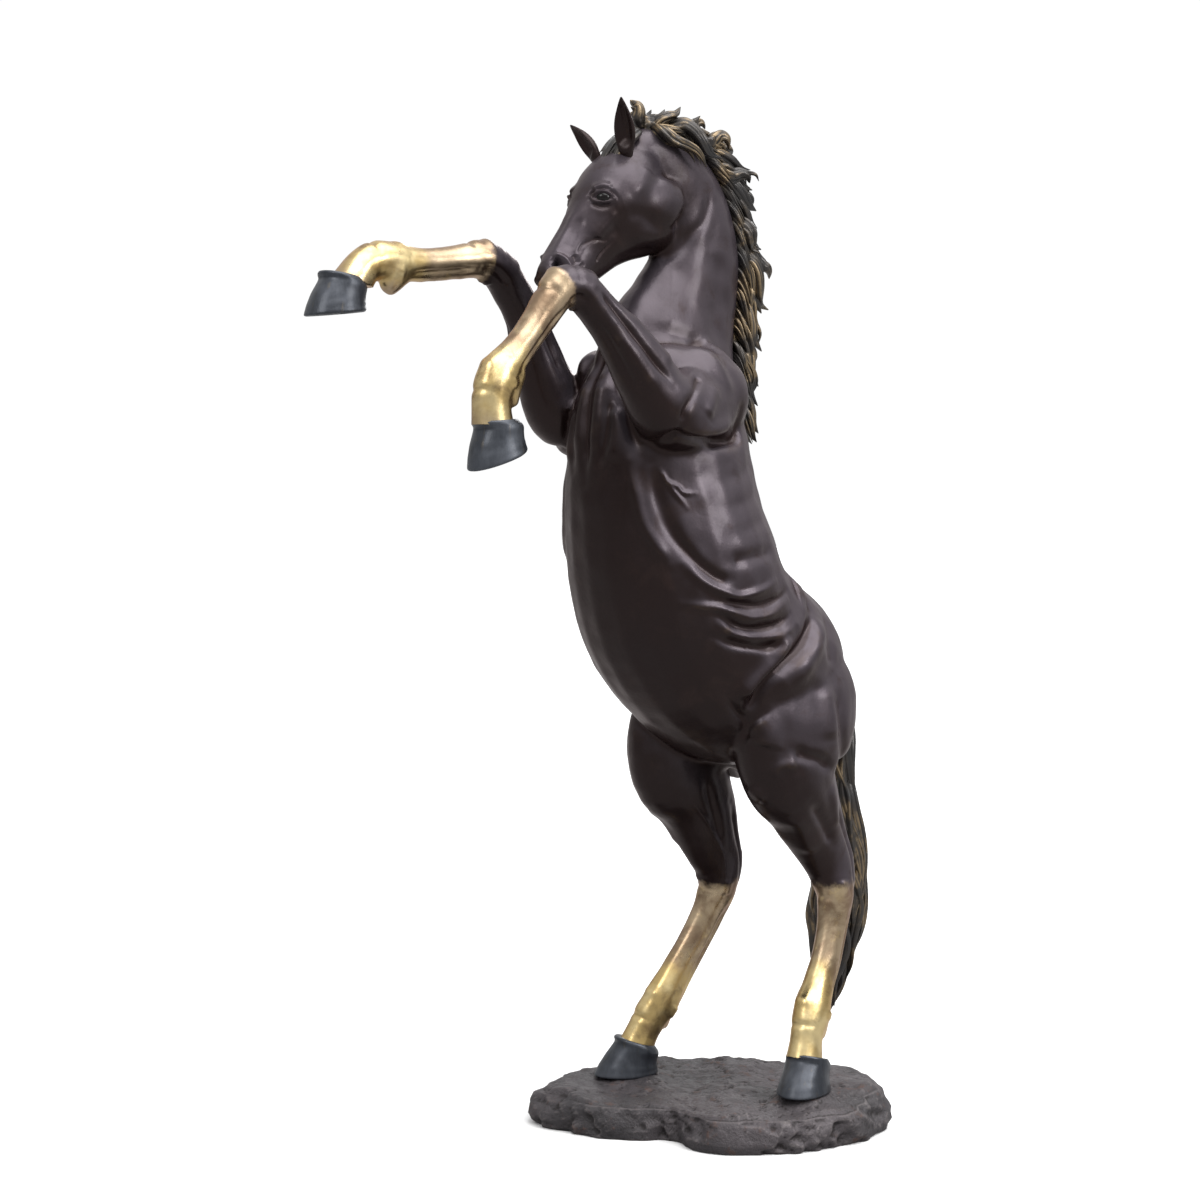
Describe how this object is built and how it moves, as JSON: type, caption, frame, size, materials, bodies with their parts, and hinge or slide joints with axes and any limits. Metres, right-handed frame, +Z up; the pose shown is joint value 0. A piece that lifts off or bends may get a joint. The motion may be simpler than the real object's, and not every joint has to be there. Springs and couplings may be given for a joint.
{
  "type": "rearing horse statue",
  "caption": "Life-size rearing horse in dark and gold patinated cast bronze, balanced on its hind legs on a low rock base, with a hollow body and a steel frame inside.",
  "frame": {"origin": "centre of the base's underside, on the steel anchor bar that is flush with the base's rim", "axes": "+Z up; the horse faces -Y and its left side is +X, so x = 0 divides its body in two"},
  "size_m": [0.6838, 1.4646, 2.3113],
  "materials": {
    "dark_bronze": "waxed near-black brown patina",
    "gold_bronze": "brushed and polished gold bronze",
    "hoof_bronze": "satin blue-black patina",
    "hair_bronze": "dark patina rubbed back to gold on the ridges",
    "rock_base": "rough stone-like grey-brown patina",
    "frame_steel": "mill finish"
  },
  "bodies": {
    "root": {"base_shell": "rock_base", "anchor_bar": "frame_steel", "leg_rod_left": "frame_steel", "leg_rod_right": "frame_steel", "rod_washer_left": "frame_steel", "rod_washer_right": "frame_steel", "rod_nut_left": "frame_steel", "rod_nut_right": "frame_steel", "pelvis_crossbar": "frame_steel", "spine_tube": "frame_steel", "hoof_hind_left": "hoof_bronze", "hoof_hind_right": "hoof_bronze", "hoof_fore_left": "hoof_bronze", "hoof_fore_right": "hoof_bronze", "lower_hind_leg_left": "gold_bronze", "lower_hind_leg_right": "gold_bronze", "lower_fore_leg_left": "gold_bronze", "lower_fore_leg_right": "gold_bronze", "upper_hind_leg_left": "dark_bronze", "upper_hind_leg_right": "dark_bronze", "forearm_left": "dark_bronze", "forearm_right": "dark_bronze", "hindquarters": "dark_bronze", "barrel": "dark_bronze", "chest": "dark_bronze", "neck": "dark_bronze", "head": "dark_bronze", "ear_left": "dark_bronze", "ear_right": "dark_bronze", "forelock": "hair_bronze", "mane_poll": "hair_bronze", "mane_upper": "hair_bronze", "mane_middle": "hair_bronze", "mane_lower": "hair_bronze", "tail_upper": "hair_bronze", "tail_lower": "hair_bronze"}
  },
  "joints": []
}
